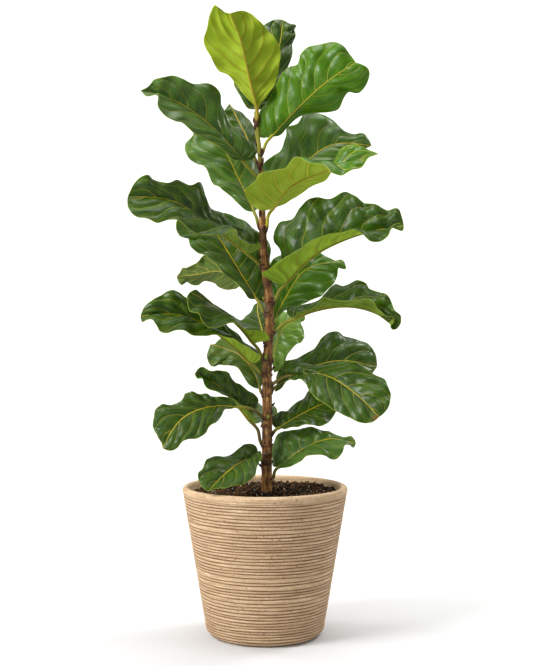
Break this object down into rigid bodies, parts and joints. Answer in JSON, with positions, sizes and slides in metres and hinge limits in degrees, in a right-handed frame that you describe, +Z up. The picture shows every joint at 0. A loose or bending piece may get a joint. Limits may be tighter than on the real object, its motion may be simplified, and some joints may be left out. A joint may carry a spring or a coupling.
{
  "type": "potted fiddle leaf fig",
  "caption": "Indoor fig tree with a slim brown trunk and large, waved, fiddle-shaped leaves, rooted in dark potting soil in a round tapered pot with fine ridges.",
  "frame": {"origin": "middle of the pot's flat underside", "axes": "+Z up along the pot's axis, +X to the right and -Y to the front as pictured"},
  "size_m": [0.4806, 0.3168, 1.1342],
  "materials": {
    "pot_stone": "matt, fine ridges, like cast stone",
    "potting_soil": "rough, loose bark chips",
    "bark": "rough woody bark",
    "leaf_dark": "waxy, glossy above and matt below",
    "leaf_bright": "waxy, glossy above and matt below",
    "leaf_lime": "young leaf, satin",
    "leaf_olive": "older leaf, satin"
  },
  "bodies": {
    "root": {"pot": "pot_stone", "soil": "potting_soil", "trunk": "bark", "leaf_01": "leaf_lime", "leaf_02": "leaf_dark", "leaf_03": "leaf_bright", "leaf_04": "leaf_dark", "leaf_05": "leaf_dark", "leaf_06": "leaf_dark", "leaf_07": "leaf_lime", "leaf_08": "leaf_dark", "leaf_09": "leaf_dark", "leaf_10": "leaf_dark", "leaf_11": "leaf_olive", "leaf_12": "leaf_dark", "leaf_13": "leaf_dark", "leaf_14": "leaf_dark", "leaf_15": "leaf_dark", "leaf_16": "leaf_bright", "leaf_17": "leaf_dark", "leaf_18": "leaf_bright", "leaf_19": "leaf_olive", "leaf_20": "leaf_dark", "leaf_21": "leaf_dark", "leaf_22": "leaf_dark", "leaf_23": "leaf_dark", "leaf_24": "leaf_dark", "leaf_25": "leaf_dark", "leaf_26": "leaf_dark", "leaf_27": "leaf_dark"}
  },
  "joints": []
}
